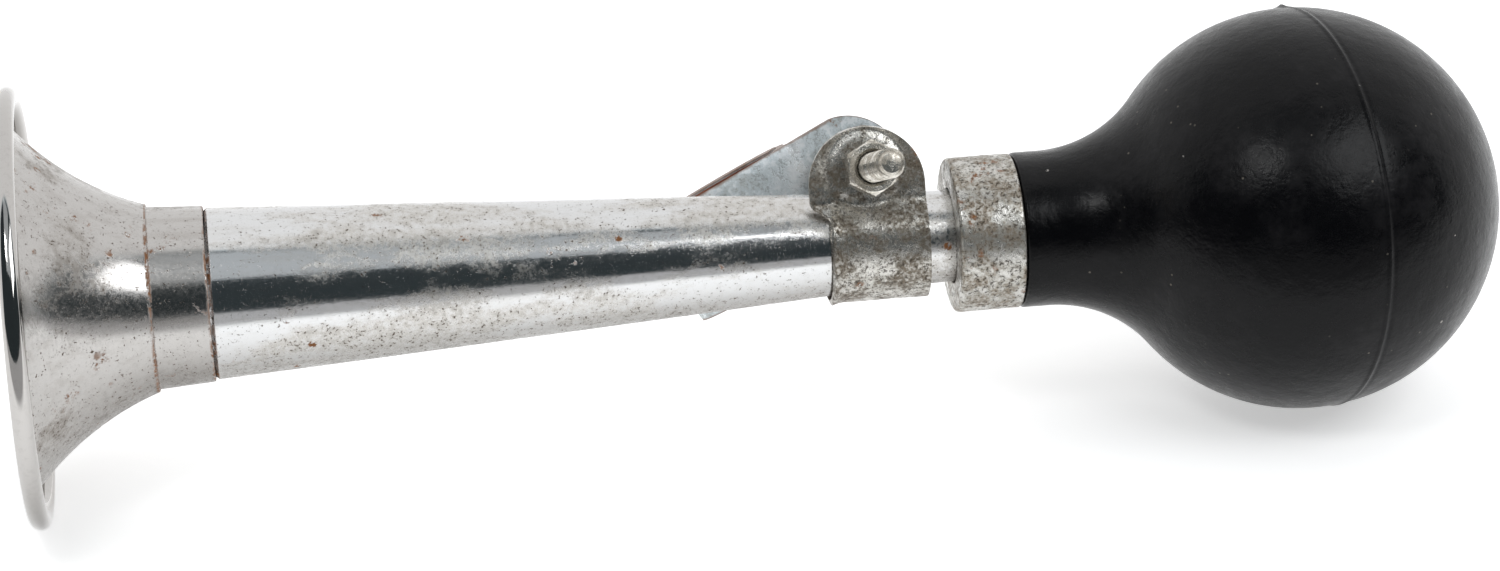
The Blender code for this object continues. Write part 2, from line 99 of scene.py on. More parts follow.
TURN = joint_named("clip_turn")
AXIS = Vector(TURN["axis"]).normalized()
BELL_VERTICES = frame["nodes"]["bell_flare"].data.vertices
FRONT = min((v.co - Vector(TURN["pos_m"])).dot(AXIS) for v in BELL_VERTICES)
HORN = axis_frame(Vector(TURN["pos_m"]) + FRONT * AXIS, AXIS, (0, 0, -1))
BOLT_JOINT = joint_named("bolt_turn")
BOLT_PLACE = HORN.inverted() @ Vector(BOLT_JOINT["pos_m"])
BOLT_HEIGHT = math.hypot(BOLT_PLACE.x, BOLT_PLACE.y)
BOLT_STATION = BOLT_PLACE.z
LEAN_UP = HORN.to_3x3() @ Vector((BOLT_PLACE.x, BOLT_PLACE.y, 0))
CLAMP = axis_frame(HORN @ Vector((0, 0, BOLT_STATION)), AXIS, LEAN_UP)
BOLT = axis_frame(Vector(BOLT_JOINT["pos_m"]), BOLT_JOINT["axis"], -AXIS)
LOOP_MOUNT = next(m for m in frame["record"]["mounts"] if m["name"] == "handlebar_loop")
BAR = Vector(LOOP_MOUNT["axis"]).normalized()
STRAP = axis_frame(Vector(BOLT_JOINT["pos_m"]), BOLT_JOINT["axis"], BAR.cross(Vector(BOLT_JOINT["axis"])))

# Mesh building


def add_object(name, vertices, faces, material, values=None, sharp=35):
    mesh = bpy.data.meshes.new(name)
    mesh.from_pydata([tuple(v) for v in vertices], [], faces)
    for key, numbers in (values or {}).items():
        layer = mesh.attributes.new(key, "FLOAT", "POINT")
        layer.data.foreach_set("value", np.asarray(numbers, np.float32))
    mesh.validate()
    mesh.materials.append(material)
    obj = bpy.data.objects.new(name, mesh)
    bpy.context.scene.collection.objects.link(obj)
    shape = bmesh.new()
    shape.from_mesh(mesh)
    bmesh.ops.remove_doubles(shape, verts=shape.verts, dist=1e-7)
    bmesh.ops.recalc_face_normals(shape, faces=shape.faces)
    shape.to_mesh(mesh)
    shape.free()
    mesh.shade_smooth()
    mesh.set_sharp_from_angle(angle=math.radians(sharp))
    return obj


def grid_faces(rows, columns, close_rows=False, close_columns=False):
    faces = []
    for i in range(rows if close_rows else rows - 1):
        for j in range(columns if close_columns else columns - 1):
            a, b = i * columns + j, i * columns + (j + 1) % columns
            c, d = (i + 1) % rows * columns + (j + 1) % columns, (i + 1) % rows * columns + j
            faces.append((a, b, c, d))
    return faces


def wobble(point, size, height, seed):
    """A small smooth unevenness, the same on every run."""
    return height * noise.noise(Vector(point) / size + Vector((seed, seed * 1.7, -seed)))


def turned(name, outline, matrix, material, segments, shape=None, sharp=35):
    """A closed body of revolution about the frame's Z from (radius, station) points.
    shape(radius, station, angle) may move each point, and gives (radius, station)."""
    angles = np.linspace(0, 2 * math.pi, segments, endpoint=False)
    vertices, stations = [], []
    for radius, station in outline:
        for angle in angles:
            r, z = shape(radius, station, angle) if shape else (radius, station)
            vertices.append(matrix @ Vector((r * math.cos(angle), r * math.sin(angle), z)))
            stations.append(station)
    faces = grid_faces(len(outline), segments, True, True)
    return add_object(name, vertices, faces, material, {"station": stations}, sharp)


def arc(centre, radius, start, end, count):
    angles = np.radians(np.linspace(start, end, count + 1))
    return [(centre[0] + radius * math.cos(a), centre[1] + radius * math.sin(a)) for a in angles]


def line(first, last, step):
    """Points from first up to, and not with, last."""
    count = max(1, round(math.dist(first, last) / step))
    return [tuple(np.add(first, np.multiply(np.subtract(last, first), i / count))) for i in range(count)]


def polyline(points, step):
    dense = []
    for first, last in zip(points, points[1:]):
        dense += line(first, last, step)
    return dense + [points[-1]]


def softened(points, rounds):
    """The open line with its corners rounded by averaging, ends kept."""
    line_points = np.array(points, float)
    for _ in range(rounds):
        line_points[1:-1] = (line_points[:-2] + 2 * line_points[1:-1] + line_points[2:]) / 4
    return line_points


def left_side(points, distance):
    """The open line moved to its left by a distance."""
    p = np.array(points, float)
    along = np.gradient(p, axis=0)
    along /= np.linalg.norm(along, axis=1)[:, None]
    return p + distance * np.column_stack((-along[:, 1], along[:, 0]))


# Materials


class Surface:
    """A material's node tree, with short names for the nodes that the surfaces here use."""

    def __init__(self, name, metallic=0.0):
        self.material = bpy.data.materials.new(name)
        self.material.use_nodes = True
        self.tree = self.material.node_tree
        self.shader = self.tree.nodes["Principled BSDF"]
        self.shader.inputs["Metallic"].default_value = metallic
        self.coordinates = self.tree.nodes.new("ShaderNodeTexCoord").outputs["Object"]

    def link(self, value, socket):
        if isinstance(value, bpy.types.NodeSocket):
            self.tree.links.new(value, socket)
        else:
            socket.default_value = value

    def noise(self, size, detail=4.0, roughness=0.55, stretch=None, offset=0.0):
        """Noise with features about size metres across."""
        mapping = self.tree.nodes.new("ShaderNodeMapping")
        self.link(self.coordinates, mapping.inputs["Vector"])
        mapping.inputs["Scale"].default_value = [k / size for k in (stretch or (1, 1, 1))]
        mapping.inputs["Location"].default_value = (offset, offset * 0.7, -offset)
        texture = self.tree.nodes.new("ShaderNodeTexNoise")
        texture.inputs["Scale"].default_value = 1.0
        texture.inputs["Detail"].default_value = detail
        texture.inputs["Roughness"].default_value = roughness
        self.link(mapping.outputs["Vector"], texture.inputs["Vector"])
        return texture.outputs["Fac"]

    def spots(self, size, radius, offset=0.0):
        """1 inside scattered round spots, 0 outside, with one spot in each cell of that size."""
        mapping = self.tree.nodes.new("ShaderNodeMapping")
        self.link(self.coordinates, mapping.inputs["Vector"])
        mapping.inputs["Scale"].default_value = (1 / size,) * 3
        mapping.inputs["Location"].default_value = (offset,) * 3
        texture = self.tree.nodes.new("ShaderNodeTexVoronoi")
        texture.inputs["Scale"].default_value = 1.0
        self.link(mapping.outputs["Vector"], texture.inputs["Vector"])
        return self.ramp(texture.outputs["Distance"], radius, radius * 0.6)

    def attribute(self, name):
        node = self.tree.nodes.new("ShaderNodeAttribute")
        node.attribute_name = name
        return node.outputs["Fac"]

    def math(self, operation, first, second=0.0, clamp=False):
        node = self.tree.nodes.new("ShaderNodeMath")
        node.operation = operation
        node.use_clamp = clamp
        self.link(first, node.inputs[0])
        self.link(second, node.inputs[1])
        return node.outputs[0]

    def ramp(self, value, low, high, bottom=0.0, top=1.0):
        """The value mapped from low..high to bottom..top, smooth at both ends."""
        node = self.tree.nodes.new("ShaderNodeMapRange")
        node.interpolation_type = "SMOOTHSTEP"
        self.link(value, node.inputs["Value"])
        if low < high:
            limits = (low, high, bottom, top)
        else:
            limits = (high, low, top, bottom)
        for socket, number in zip(("From Min", "From Max", "To Min", "To Max"), limits):
            node.inputs[socket].default_value = number
        return node.outputs["Result"]

    def mix(self, amount, first, second):
        node = self.tree.nodes.new("ShaderNodeMix")
        node.data_type = "RGBA"
        self.link(amount, node.inputs["Factor"])
        for value, socket in ((first, node.inputs[6]), (second, node.inputs[7])):
            self.link((*value, 1.0) if isinstance(value, tuple) else value, socket)
        return node.outputs[2]

    def near_station(self, station, width, waver):
        """1 on a line round the piece at that station, 0 away from it, with a wavering edge."""
        distance = self.math("SUBTRACT", self.attribute("station"), station)
        distance = self.math("ABSOLUTE", distance)
        shifted = self.math("ADD", distance, self.math("MULTIPLY", waver, width))
        return self.ramp(shifted, width * 1.2, width * 0.5)

    def bump(self, height, distance, strength=1.0, below=None):
        node = self.tree.nodes.new("ShaderNodeBump")
        node.inputs["Distance"].default_value = distance
        node.inputs["Strength"].default_value = strength
        self.link(height, node.inputs["Height"])
        if below:
            self.link(below, node.inputs["Normal"])
        return node.outputs["Normal"]

    def finish(self, colour, roughness, normal, metallic=None):
        self.link(colour, self.shader.inputs["Base Color"])
        self.link(roughness, self.shader.inputs["Roughness"])
        self.link(normal, self.shader.inputs["Normal"])
        if metallic is not None:
            self.link(metallic, self.shader.inputs["Metallic"])
        return self.material


RUST = (0.30, 0.115, 0.028)
DARK_RUST = (0.13, 0.052, 0.018)


def plated(name, bright, haze, clear, cloudy, haze_share, rust_share, specks, lines=()):
    """Chrome plate: clear areas, cloudy hazed areas drawn out along the horn, fine dark pits,
    and rust breaking through. clear and cloudy are the two roughnesses, and lines are
    (station, width) where rust runs round. The attribute "rim" marks the bright rolled rim,
    and "under" is how far a point faces down: there the plate gets more haze and pits, and a
    painted shade darkens its colour."""
    s = Surface(name, metallic=1.0)
    cloud = s.noise(0.012, 6, 0.64, stretch=(0.35, 1, 1))
    streak = s.noise(0.0022, 4, 0.6, stretch=(0.10, 1, 1), offset=2.5)
    fine = s.noise(0.0013, 5, 0.7, offset=3.1)
    frost = s.noise(0.00055, 4, 0.75, offset=1.3)
    grain = s.noise(0.00042, 3, 0.6, offset=7.7)
    under = s.attribute("under")
    dull = s.math("SUBTRACT", 1.0, s.attribute("rim"))
    hazed = s.ramp(cloud, 0.64 - haze_share, 0.78 - haze_share)
    hazed = s.math("ADD", hazed, s.math("MULTIPLY", under, 0.8), clamp=True)
    hazed = s.math("MULTIPLY", hazed, s.ramp(fine, 0.30, 0.60, 0.35, 1.0))
    veiled = s.math("MULTIPLY", s.ramp(streak, 0.45, 0.70), 0.30)
    hazed = s.math("MULTIPLY", s.math("MAXIMUM", hazed, veiled), dull)
    density = s.math("ADD", s.ramp(cloud, 0.35, 0.65, 0.0, 0.05), s.math("MULTIPLY", under, 0.05))
    pitted = s.ramp(s.math("ADD", s.math("ADD", grain, density), -0.655 + 0.03 * specks), 0.0, 0.035)
    pitted = s.math("MULTIPLY", pitted, s.ramp(fine, 0.44, 0.58))
    pitted = s.math("MULTIPLY", pitted, dull)
    patch = s.ramp(s.noise(0.0075, 5, 0.62, offset=11.0), 0.64 - rust_share, 0.72 - rust_share)
    bloom = s.ramp(s.noise(0.0011, 5, 0.75, offset=5.0), 0.50, 0.58)
    rusty = s.math("MULTIPLY", patch, bloom)
    drops = s.math("MULTIPLY", s.spots(0.0052, 0.17, 2.0), s.ramp(fine, 0.46, 0.52))
    where = s.ramp(s.noise(0.014, 3, offset=6.0), 0.52 - rust_share, 0.58 - rust_share)
    drops = s.math("MULTIPLY", drops, where)
    rusty = s.math("MULTIPLY", s.math("MAXIMUM", rusty, drops), dull)
    for station, width in lines:
        broken = s.noise(0.0016, 5, 0.75, offset=9.0)
        wander = s.ramp(s.noise(0.010, 3, 0.6, offset=12.0), 0.40, 0.62)
        thin = s.near_station(station, width * 0.5, s.math("SUBTRACT", broken, 0.6))
        thin = s.math("MULTIPLY", thin, s.ramp(broken, 0.44, 0.56, 0.15, 0.75))
        ring = s.near_station(station, width * 1.6, s.math("SUBTRACT", broken, 0.35))
        ring = s.math("MULTIPLY", s.math("MULTIPLY", ring, wander), s.ramp(broken, 0.44, 0.54))
        rusty = s.math("MAXIMUM", rusty, s.math("MAXIMUM", thin, ring))
    colour = s.mix(hazed, bright, haze)
    stained = s.math("MULTIPLY", s.ramp(fine, 0.50, 0.68), s.ramp(hazed, 0.2, 0.8, 0.12, 0.5))
    colour = s.mix(stained, colour, tuple(k * 0.66 for k in haze))
    # Painted shade: the colour darkens towards the underside, standing in for the shadowed floor that the
    # plate reflects there.
    colour = s.mix(s.ramp(under, 0.15, 0.90, 0.0, 0.85), colour, tuple(k * 0.45 for k in haze))
    colour = s.mix(pitted, colour, (0.085, 0.062, 0.045))
    rust_colour = s.mix(s.noise(0.0009, 4, offset=1.0), DARK_RUST, RUST)
    colour = s.mix(rusty, colour, rust_colour)
    rough = s.ramp(hazed, 0.0, 1.0, clear, cloudy)
    rough = s.math("MULTIPLY", rough, s.ramp(dull, 0.0, 1.0, 0.35, 1.0))
    rough = s.math("MULTIPLY", rough, s.ramp(frost, 0.35, 0.65, 0.75, 1.25))
    rough = s.math("ADD", rough, s.math("MULTIPLY", rusty, 0.45), clamp=True)
    rough = s.math("ADD", rough, s.math("MULTIPLY", pitted, 0.10), clamp=True)
    height = s.math("SUBTRACT", s.math("MULTIPLY", rusty, 0.6), s.math("MULTIPLY", pitted, 0.12))
    normal = s.bump(s.noise(0.02, 3, 0.5, stretch=(0.5, 1, 1), offset=4.0), 0.0006, 0.22)
    normal = s.bump(s.math("MULTIPLY", frost, hazed), 0.00004, 0.55, normal)
    normal = s.bump(height, 0.00007, 0.8, normal)
    metal = s.math("SUBTRACT", 1.0, s.math("MULTIPLY", rusty, 0.92), clamp=True)
    return s.finish(colour, rough, normal, metal)


def tarnished(name, light, dull, stain, smooth, rough, rust_share,
              edge_rust=0.0, scale=1.0, metal=0.9, wear=1.0):
    """Zinc plate gone dull: light speckles, grey-brown stain, dark pits and a little rust.
    scale is the speckles' size, and wear is the strength of the stain and pits."""
    s = Surface(name, metallic=1.0)
    blotch = s.noise(0.0060 * scale, 6, 0.65, offset=2.0)
    speck = s.noise(0.0011 * scale, 4, 0.75, offset=6.0)
    grain = s.noise(0.00042, 3, 0.65, offset=8.0)
    stained = s.math("MULTIPLY", s.ramp(blotch, 0.42, 0.60), s.ramp(speck, 0.38, 0.58, 0.25, 1.0))
    pitted = s.math("MULTIPLY", s.ramp(speck, 0.49, 0.57), s.ramp(grain, 0.47, 0.55))
    lightened = s.ramp(speck, 0.47, 0.39)
    colour = s.mix(s.ramp(blotch, 0.32, 0.55), light, dull)
    colour = s.mix(s.math("MULTIPLY", lightened, 0.7), colour, light)
    colour = s.mix(s.math("MULTIPLY", stained, min(1.0, wear + 0.2)), colour, stain)
    pitted = s.math("MULTIPLY", pitted, wear)
    colour = s.mix(pitted, colour, (0.045, 0.034, 0.024))
    patch = s.ramp(s.noise(0.006, 5, 0.65, offset=13.0), 0.62 - rust_share, 0.70 - rust_share)
    rusty = s.math("MULTIPLY", patch, s.ramp(s.noise(0.0013, 5, 0.7, offset=5.5), 0.46, 0.58))
    if edge_rust:
        edge = s.math("ADD", s.attribute("edge"), s.math("MULTIPLY", s.noise(0.003, 5, 0.7), 0.5))
        rusty = s.math("MAXIMUM", rusty, s.math("MULTIPLY", s.ramp(edge, 0.95, 1.25), edge_rust))
    colour = s.mix(rusty, colour, s.mix(speck, DARK_RUST, RUST))
    roughness = s.math("ADD", s.ramp(blotch, 0.3, 0.7, smooth, rough),
                       s.math("MULTIPLY", s.math("MAXIMUM", pitted, rusty), 0.30), clamp=True)
    normal = s.bump(blotch, 0.00014, 0.5)
    normal = s.bump(speck, 0.00008, 0.3 + 0.6 * wear, normal)
    normal = s.bump(s.math("SUBTRACT", 1.0, pitted), 0.00006, 0.9, normal)
    bare = s.math("SUBTRACT", metal, s.math("MAXIMUM", s.math("MULTIPLY", rusty, 0.9),
                                            s.math("MULTIPLY", stained, 0.35)), clamp=True)
    return s.finish(colour, roughness, normal, bare)


def black_rubber():
    s = Surface("bulb_rubber")
    s.shader.inputs["Specular IOR Level"].default_value = 0.16
    bloom = s.noise(0.015, 5, 0.6)
    scuff = s.noise(0.0022, 5, 0.7, offset=2.0)
    grain = s.noise(0.0005, 3, 0.6, offset=5.0)
    worn = s.math("MULTIPLY", s.ramp(bloom, 0.46, 0.66), s.ramp(scuff, 0.38, 0.62, 0.25, 1.0))
    dust = s.math("MULTIPLY", s.spots(0.0026, 0.09, 4.0), s.ramp(bloom, 0.50, 0.58))
    fleck = s.math("MULTIPLY", s.spots(0.0085, 0.045, 9.0), s.ramp(scuff, 0.46, 0.52))
    colour = s.mix(worn, (0.0018, 0.0018, 0.0024), (0.0085, 0.0080, 0.0090))
    colour = s.mix(s.math("MULTIPLY", dust, 0.5), colour, (0.20, 0.18, 0.15))
    colour = s.mix(fleck, colour, (0.34, 0.32, 0.30))
    rough = s.ramp(s.math("ADD", s.math("MULTIPLY", bloom, 0.6), s.math("MULTIPLY", scuff, 0.4)),
                   0.35, 0.65, 0.20, 0.36)
    normal = s.bump(bloom, 0.0008, 0.5)
    normal = s.bump(scuff, 0.00012, 0.6, normal)
    normal = s.bump(grain, 0.00003, 0.6, normal)
    return s.finish(colour, rough, normal)


def brass():
    s = Surface("reed_brass", metallic=1.0)
    blotch = s.noise(0.004, 5, 0.6)
    lines = s.noise(0.0004, 3, 0.6, stretch=(0.05, 1, 1))
    colour = s.mix(s.ramp(blotch, 0.4, 0.65), (0.72, 0.50, 0.22), (0.36, 0.22, 0.09))
    rough = s.ramp(blotch, 0.3, 0.7, 0.22, 0.48)
    return s.finish(colour, rough, s.bump(lines, 0.00002, 0.5))


def fibre(name, dark, light):
    s = Surface(name)
    weave = s.noise(0.0006, 4, 0.7, stretch=(0.3, 1, 1))
    blotch = s.noise(0.005, 4, 0.6, offset=3.0)
    colour = s.mix(s.ramp(blotch, 0.35, 0.65), dark, light)
    rough = s.ramp(weave, 0.3, 0.7, 0.6, 0.9)
    return s.finish(colour, rough, s.bump(weave, 0.0001, 0.7))


# Bell and tube

SHEET = 0.5 * MM
SEAM_LINE = 21.8 * MM  # station of the crease where the flare meets the collar
CURL_END = 213  # degrees to which the rim's curl closes
NECK_BORE = 7.75 * MM


def node_stations(obj):
    """The distance of each point from the horn's axis, and its station along it."""
    inverse = HORN.inverted()
    points = [inverse @ v.co for v in obj.data.vertices]
    return np.array([(math.hypot(q.x, q.y), q.z) for q in points])


def store(obj, name, numbers):
    layer = obj.data.attributes.new(name, "FLOAT", "POINT")
    layer.data.foreach_set("value", np.asarray(numbers, np.float32))


def under_values(obj):
    """How far each point faces down, 0 to 1, for dust and haze on the horn's underside, and for a painted
    shade there.
    """
    mesh = obj.data
    normals = np.zeros(len(mesh.vertices) * 3, np.float32)
    mesh.vertices.foreach_get("normal", normals)
    store(obj, "under", np.clip(-normals.reshape(-1, 3)[:, 2], 0, 1))


def make_bell(material, rim_material):
    rim_outside = (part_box("bell_flare")[1].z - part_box("bell_flare")[0].z) / 2
    length = span("bell_flare", HORN)[1]
    bead = 1.65 * MM
    bead_place = rim_outside - bead
    flare_centre, flare_radius = (59.0 * MM, 37.2 * MM), 46.6 * MM
    brim, neck = 30.2 * MM, 14.65 * MM
    first = math.degrees(math.atan2(SHEET - flare_centre[1], brim - flare_centre[0])) % 360
    last = math.degrees(math.atan2(SEAM_LINE - flare_centre[1], neck - flare_centre[0])) % 360
    outside = line((bead_place, SHEET), (brim, SHEET), 0.3 * MM)
    outside += arc(flare_centre, flare_radius, first, last, 90)
    collar_top = neck - 0.12 * MM
    collar = (neck - 0.2 * MM, SEAM_LINE + 2 * MM)
    outside += line((collar_top, SEAM_LINE + 0.25 * MM), collar, 0.3 * MM)
    outside += line(collar, (14.05 * MM, length - 0.3 * MM), 0.3 * MM)
    outside += arc((14.0 * MM - 0.22 * MM, length - 0.25 * MM), 0.25 * MM, 0, 80, 4)
    inside = [tuple(p) for p in left_side(outside[:-4], SHEET)][::-1]
    curl = arc((bead_place, bead), bead, -90, CURL_END, 40)
    curl_inside = arc((bead_place, bead), bead - SHEET, CURL_END, -90, 26)
    outline = inside + curl + curl_inside + outside

    def dented(radius, station, angle):
        point = (math.cos(angle), math.sin(angle), station / (20 * MM))
        return radius + wobble(point, 0.9, 0.10 * MM, 3.0) * min(1, station / (4 * MM)), station

    bell = turned("bell", outline, HORN, material, 256, shape=dented)
    stations = node_stations(bell)
    rim = (stations[:, 1] < 3.5 * MM) & (stations[:, 0] > brim + 1.4 * MM)
    store(bell, "rim", rim)
    under_values(bell)
    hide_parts("bell_flare")
    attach(bell, "horn")
    wire_section = arc((bead_place, bead), 0.85 * MM, 0, 330, 11)
    wire = turned("rim_wire_round", wire_section, HORN, rim_material, 160)
    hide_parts("rim_wire")
    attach(wire, "horn")


def tube_outside():
    """The tube's outer line: swaged end under the collar, shoulder, cone and straight neck."""
    start, end = span("horn_tube", HORN)
    shoulder = span("bell_flare", HORN)[1] + 0.35 * MM
    swaged = [(13.2 * MM, start), (13.2 * MM, shoulder - 0.4 * MM)]
    cone = [(13.72 * MM, shoulder + 0.25 * MM), (10.7 * MM, 87.4 * MM), (8.2 * MM, 131.4 * MM)]
    neck = [(7.43 * MM, 149.0 * MM), (7.43 * MM, end)]
    return swaged, cone, neck


def make_tube(material):
    swaged, cone, neck = tube_outside()
    sloped = softened(polyline([*cone, *neck], 0.8 * MM), 30)
    outside = polyline(swaged, 0.8 * MM) + [tuple(p) for p in sloped]
    inside = [tuple(p) for p in left_side(outside, SHEET)][::-1]

    def drawn(radius, station, angle):
        point = (math.cos(angle) * 1.3, math.sin(angle) * 1.3, station / (40 * MM))
        return radius + wobble(point, 1.0, 0.05 * MM, 8.0), station

    tube = turned("tube", inside + outside, HORN, material, 224, shape=drawn)
    under_values(tube)
    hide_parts("horn_tube")
    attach(tube, "horn")


# Ferrule, washer and bulb

BULB_WALL = 3 * MM


def make_ferrule(material, washer_material):
    front, back = span("bulb_ferrule", HORN)
    radius, wall = 12.55 * MM, 1.0 * MM
    round_off = 0.7 * MM
    outline = [(NECK_BORE, front + 1.2 * MM)]
    outline += arc((NECK_BORE + 0.35 * MM, front + 0.35 * MM), 0.35 * MM, 180, 270, 5)
    outline += arc((radius - round_off, front + round_off), round_off, -90, 0, 8)
    outline += line((radius, front + round_off), (radius, back - 0.4 * MM), 0.5 * MM)
    outline += arc((radius - 0.4 * MM, back - 0.4 * MM), 0.4 * MM, 0, 90, 5)
    outline += [(radius - wall, back), (radius - wall, front + 1.2 * MM)]

    def pressed(r, station, angle):
        point = (math.cos(angle) * 2, math.sin(angle) * 2, station / (6 * MM))
        return r + wobble(point, 0.8, 0.07 * MM, 5.0) * (r > 10 * MM), station

    ferrule = turned("ferrule", outline, HORN, material, 192, shape=pressed)
    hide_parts("bulb_ferrule")
    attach(ferrule, "horn")
    low, high = span("neck_washer", HORN)
    outer = reach("neck_washer", HORN)
    ring = [(NECK_BORE, low), (outer, low), (outer, high), (NECK_BORE, high)]
    washer = turned("washer_ring", ring, HORN, washer_material, 96)
    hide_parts("neck_washer")
    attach(washer, "horn")


def bulb_line(neck_radius, neck_end, radius, centre, last, count):
    """A neck that runs into a ball through a hollow arc tangent to both."""
    distance = centre - neck_end
    hollow = (distance ** 2 + neck_radius ** 2 - radius ** 2) / (2 * (radius - neck_radius))
    height = neck_radius + hollow
    meeting = math.degrees(math.atan2(height, distance))
    neck = arc((height, neck_end), hollow, 180, 90 + meeting, count // 3)
    return neck + arc((0, centre), radius, meeting - 90, last, count)[1:]


def make_bulb(material):
    """The whole bulb as one moulding with its raised seam."""
    neck_start = span("bulb_front", HORN)[0]
    end = span("bulb_rear", HORN)[1]
    radius = reach("bulb_rear", HORN)
    centre = end - radius
    ferrule_end = span("bulb_ferrule", HORN)[1]
    seam = span("bulb_rear", HORN)[0]
    pinched, full = 11.35 * MM, 12.6 * MM
    outside = line((pinched, neck_start), (pinched, ferrule_end), 0.6 * MM)
    outside += arc((full - 0.6 * MM, ferrule_end + 0.75 * MM), 0.6 * MM, -90, 0, 6)
    outside += line((full, ferrule_end + 0.9 * MM), (full, 165.4 * MM), 0.5 * MM)
    outside += bulb_line(full, 165.5 * MM, radius, centre, 89.9, 260)
    inside = bulb_line(NECK_BORE, 173.5 * MM, radius - BULB_WALL, centre, 89.9, 90)
    inside = [(NECK_BORE, neck_start), *inside][::-1]
    towards_camera_side = HORN.to_3x3().inverted() @ Vector((0, -0.89, 0.45))
    up_side = HORN.to_3x3().inverted() @ Vector((0, 0.45, 0.89))
    front_angle = math.atan2(towards_camera_side.y, towards_camera_side.x)
    top_angle = math.atan2(up_side.y, up_side.x)

    def moulded(r, station, angle):
        """Shifts the rows so that one follows the slanted seam, then raises the seam's line."""
        slant = 5.3 * MM * math.cos(angle - front_angle) - 1.7 * MM * math.cos(angle - top_angle)
        nearness = math.exp(-((station - seam) / (13 * MM)) ** 2)
        moved = station + slant * nearness
        if r < 12 * MM or moved >= end:
            return r, station
        outer = r > math.sqrt(max(0, (radius - 1.5 * MM) ** 2 - (station - centre) ** 2))
        if nearness < 0.01:
            return r, station
        ball = radius if outer else radius - BULB_WALL
        on_ball = math.sqrt(max(0, ball ** 2 - (moved - centre) ** 2))
        if moved < centre - 22 * MM:
            on_ball, moved = r, station
        if not outer:
            return on_ball, moved
        ridge = 0.20 * MM * math.exp(-((station - seam) / (0.28 * MM)) ** 2)
        ridge -= 0.10 * MM * math.exp(-((station - seam - 0.7 * MM) / (0.35 * MM)) ** 2)
        flash = 0.45 * MM * math.exp(-((angle - top_angle) / 0.05) ** 2)
        flash *= math.exp(-((station - seam) / (0.9 * MM)) ** 2)
        return on_ball + ridge + flash, moved

    bulb = turned("bulb", inside + outside, HORN, material, 224, shape=moulded, sharp=60)
    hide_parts("bulb_front", "bulb_rear")
    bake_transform(bulb)


# Clip and strap: flat sheet bent along a line, with edges that follow an outline


def bent_sheet(name, path, low_edge, high_edge, place, thickness, material, across=26, lift=None):
    """A sheet bent along a path of (x, y) points, reaching from low_edge to high_edge in Z.
    lift(x, y, z) may move a point along the sheet's normal."""
    path = np.asarray(path, float)
    along = np.gradient(path, axis=0)
    along /= np.linalg.norm(along, axis=1)[:, None]
    normals = np.column_stack((-along[:, 1], along[:, 0]))
    shares = (1 - np.cos(np.linspace(0, math.pi, across))) / 2
    shares = 0.5 * shares + 0.5 * np.linspace(0, 1, across)
    vertices, edges = [], []
    for i, (x, y) in enumerate(path):
        for share in shares:
            z = low_edge[i] + (high_edge[i] - low_edge[i]) * share
            rise = lift(x, y, z) if lift else 0.0
            point = Vector((x + normals[i][0] * rise, y + normals[i][1] * rise, z))
            vertices.append(place @ point)
            rim = min(z - low_edge[i], high_edge[i] - z, 0.01)
            ends = min(i, len(path) - 1 - i) / len(path) * 0.08
            edges.append(1 - min(1, min(rim, ends) / (1.6 * MM)))
    sheet = add_object(name, vertices, grid_faces(len(path), across), material, {"edge": edges}, 50)
    solid = sheet.modifiers.new("thickness", "SOLIDIFY")
    solid.thickness = thickness
    solid.offset = 0
    bevel = sheet.modifiers.new("edges", "BEVEL")
    bevel.width = thickness * 0.22
    bevel.segments = 3
    bevel.limit_method = "ANGLE"
    bevel.angle_limit = math.radians(50)
    return sheet


def rounded_ends(heights, tip_centre, tip_radius, low, high, shift=0.0):
    """Edges low and high, drawn in to a round tip where the path passes its centre."""
    beyond = np.clip(heights - tip_centre, 0, tip_radius)
    half = np.sqrt(np.maximum(tip_radius ** 2 - beyond ** 2, 1e-9))
    return np.maximum(low, shift - half), np.minimum(high, shift + half)


# Height of its round end above the tube's axis, radius, and shift along the tube of each ear
NEAR_EAR = (9.0 * MM, 9.38 * MM, 0.0)
FAR_EAR = (10.2 * MM, 7.78 * MM, 0.6 * MM)


